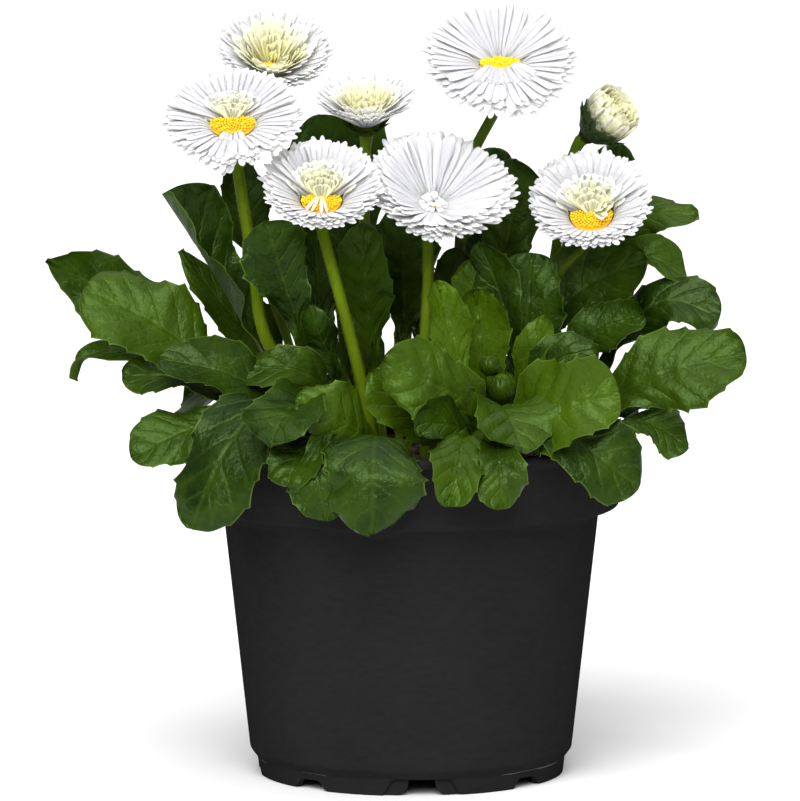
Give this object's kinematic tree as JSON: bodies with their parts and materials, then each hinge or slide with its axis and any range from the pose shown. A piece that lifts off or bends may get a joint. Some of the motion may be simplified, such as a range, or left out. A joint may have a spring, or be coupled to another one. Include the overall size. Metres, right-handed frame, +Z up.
{
  "type": "potted common daisy",
  "caption": "Double white common daisy with leaf rosettes and yellow-centred blooms, growing in a round tapered black nursery pot with a stepped lip band and a notched foot ring.",
  "frame": {"origin": "on the ground, on the pot's axis, at the centre of the flat foot pad under the pot's floor", "axes": "+Z up along the pot's axis; seen from the front, +X points right and +Y points away, so the blooms lean towards -Y"},
  "size_m": [0.1855, 0.1379, 0.2034],
  "materials": {
    "pot": "near-black recycled polypropylene with a satin sheen and faint moulding marks",
    "soil": "dark brown moist potting compost",
    "leaf": "mid to dark green, softly shining, slightly wrinkled and finely hairy",
    "stem": "yellow-green, round and finely hairy, with a darker green cup of bracts",
    "ray": "matt white ray florets, cream where they are young",
    "disc": "matt golden yellow disc florets with tiny mealy lobes"
  },
  "bodies": {
    "root": {"disc_centre": "disc", "disc_front": "disc", "disc_left": "disc", "disc_right": "disc", "disc_top_left": "disc", "disc_top_right": "disc", "leaves_back_left": "leaf", "leaves_back_right": "leaf", "leaves_front": "leaf", "leaves_front_right": "leaf", "leaves_left": "leaf", "leaves_middle": "leaf", "leaves_right": "leaf", "pot": "pot", "rays_centre": "ray", "rays_front": "ray", "rays_half_open": "ray", "rays_left": "ray", "rays_right": "ray", "rays_small": "ray", "rays_top_left": "ray", "rays_top_right": "ray", "soil": "soil", "stem_centre": "stem", "stem_front": "stem", "stem_half_open": "stem", "stem_left": "stem", "stem_right": "stem", "stem_small": "stem", "stem_top_left": "stem", "stem_top_right": "stem"}
  },
  "joints": []
}
